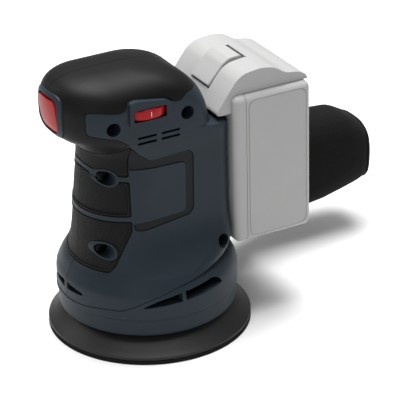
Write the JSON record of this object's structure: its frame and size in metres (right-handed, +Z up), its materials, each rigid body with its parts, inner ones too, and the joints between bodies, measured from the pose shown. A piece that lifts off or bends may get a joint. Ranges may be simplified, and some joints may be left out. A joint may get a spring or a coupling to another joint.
{
  "type": "random orbital sander",
  "caption": "Cordless random-orbital sander with round hook-and-loop pad, upright rubber grip, nose rocker switch, side speed dial, slide-on battery and dust bag.",
  "frame": {"origin": "where the motor axis meets the plane of the sanding face, 1.25 mm from the pad's own centre", "axes": "+Z up along the motor axis, -Y towards the nose with the power switch, +Y towards the battery and the dust bag, +X the side with the speed dial"},
  "size_m": [0.1377, 0.2492, 0.174],
  "materials": {
    "housing_abs": "fine moulded satin",
    "soft_rubber": "matt, fine diamond grain on the grips",
    "red_abs": "smooth",
    "dark_abs": "satin",
    "pad_foam": "moulded, satin skin",
    "hook_nylon": "hook nylon",
    "abrasive_paper": "aluminium oxide grit on paper",
    "bag_fabric": "woven filter cloth",
    "pale_abs": "satin",
    "steel": "ground",
    "dark_steel": "blackened",
    "cast_zinc": "as cast",
    "copper": "drawn",
    "graphite": "pressed",
    "circuit_board": "solder mask",
    "cell_wrap": "shrink sleeve"
  },
  "bodies": {
    "tool": {"housing_left": "housing_abs", "housing_right": "housing_abs", "head_cap_left": "soft_rubber", "head_cap_right": "soft_rubber", "grip_upper_left": "soft_rubber", "grip_upper_right": "soft_rubber", "grip_middle_left": "soft_rubber", "grip_middle_right": "soft_rubber", "grip_lower_left": "soft_rubber", "grip_lower_right": "soft_rubber", "label_inlay_left": "soft_rubber", "label_inlay_right": "soft_rubber", "switch_bezel": "housing_abs", "power_switch_body": "dark_abs", "speed_potentiometer": "dark_abs", "control_board": "circuit_board", "housing_screw_1": "dark_steel", "housing_screw_2": "dark_steel", "housing_screw_3": "dark_steel", "housing_screw_4": "dark_steel", "housing_screw_5": "dark_steel", "base_shroud": "housing_abs", "pad_brake": "soft_rubber", "dust_port": "housing_abs", "motor_can": "steel", "motor_end_cap": "dark_abs", "motor_magnet": "dark_steel", "carbon_brush_1": "graphite", "carbon_brush_2": "graphite", "lower_bearing": "steel", "upper_bearing": "steel", "battery_rail": "dark_abs", "contact_blade_1": "copper", "contact_blade_2": "copper", "lead_positive": "red_abs", "lead_negative": "dark_abs"},
    "rotor": {"motor_shaft": "steel", "armature_core": "dark_steel", "armature_winding": "copper", "commutator": "copper", "fan": "dark_abs", "eccentric_counterweight": "cast_zinc", "spindle_bolt": "steel"},
    "pad": {"backing_pad": "pad_foam", "hook_face": "hook_nylon", "sanding_disc": "abrasive_paper", "pad_screw_1": "steel", "pad_screw_2": "steel", "pad_screw_3": "steel", "pad_hub": "cast_zinc", "pad_bearing": "steel"},
    "rocker": {"power_switch": "red_abs"},
    "dial": {"speed_wheel": "red_abs"},
    "battery": {"battery_case": "pale_abs", "battery_cover": "pale_abs", "battery_cells": "cell_wrap", "battery_board": "circuit_board"},
    "latch": {"battery_button": "pale_abs"},
    "bag": {"dust_bag": "bag_fabric", "bag_collar": "dark_abs"}
  },
  "joints": [
    {"name": "motor_spin", "type": "hinge", "parent": "tool", "child": "rotor", "pos_m": [0, 0, 0.05], "axis": [0, 0, 1], "continuous": true},
    {"name": "pad_spin", "type": "hinge", "parent": "rotor", "child": "pad", "pos_m": [0, -0.00125, 0.01], "axis": [0, 0, 1], "continuous": true},
    {"name": "switch_rock", "type": "hinge", "parent": "tool", "child": "rocker", "pos_m": [0, -0.056, 0.1518], "axis": [-1, 0, 0], "range_deg": [0, 10]},
    {"name": "dial_turn", "type": "hinge", "parent": "tool", "child": "dial", "pos_m": [0.0183, -0.0144, 0.152], "axis": [0, 0, 1], "range_deg": [0, 270]},
    {"name": "battery_slide", "type": "slide", "parent": "tool", "child": "battery", "axis": [0, 0, 1], "range_m": [0, 0.09]},
    {"name": "battery_button_press", "type": "slide", "parent": "battery", "child": "latch", "axis": [0, 0.745, -0.667], "range_m": [0, 0.003], "stiffness_N_per_m": 600, "springref_m": -0.002},
    {"name": "bag_pull", "type": "slide", "parent": "tool", "child": "bag", "axis": [0, 1, 0], "range_m": [0, 0.03]}
  ]
}
